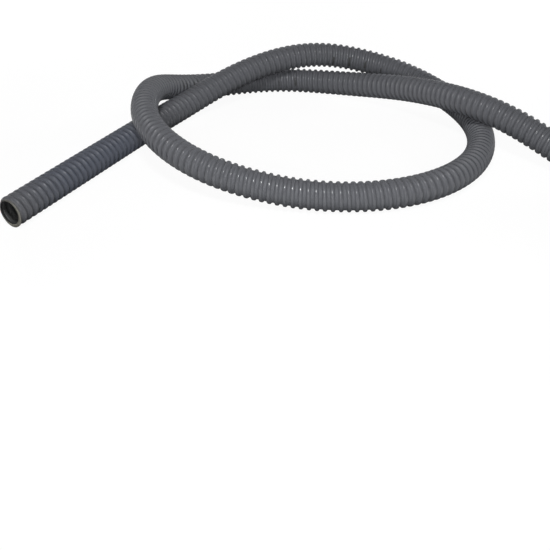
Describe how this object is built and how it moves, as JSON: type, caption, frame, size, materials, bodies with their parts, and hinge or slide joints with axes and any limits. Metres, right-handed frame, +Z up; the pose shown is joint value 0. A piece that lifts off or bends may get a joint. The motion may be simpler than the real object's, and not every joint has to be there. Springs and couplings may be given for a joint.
{
  "type": "sewer drain hose",
  "caption": "Long grey ribbed drain hose for a motorhome, laid on the floor in a loose open knot, bare at one end and clamped on a swivelling bayonet coupler at the other.",
  "frame": {"origin": "on the floor that the hose lies on, under the middle of the part's box", "axes": "+X runs along the longest extent, from the bare end's side towards the coupler's side; +Y runs across the loop, away from the side where both ends lie; +Z is up, square to the floor"},
  "size_m": [1.8849, 1.1262, 0.1852],
  "materials": {
    "hose": "satin, ribbed",
    "coupler": "fine moulded grain",
    "ring": "fine moulded grain",
    "steel": "bright rolled strip",
    "gasket": "matt"
  },
  "bodies": {
    "hose_line": {"hose": "hose", "hose_spigot": "coupler", "retaining_ring": "steel", "face_gasket": "gasket", "clamp_band": "steel", "clamp_housing": "steel"},
    "bayonet": {"bayonet_ring": "ring"},
    "screw": {"clamp_screw": "steel"}
  },
  "joints": [
    {"name": "ring_swivel", "type": "hinge", "parent": "hose_line", "child": "bayonet", "pos_m": [0.8683, -0.40619, 0.0585], "axis": [0.7071, -0.7071, 0], "continuous": true},
    {"name": "screw_turn", "type": "hinge", "parent": "hose_line", "child": "screw", "pos_m": [0.84709, -0.38498, 0.10675], "axis": [0.7071, 0.7071, 0], "continuous": true}
  ]
}
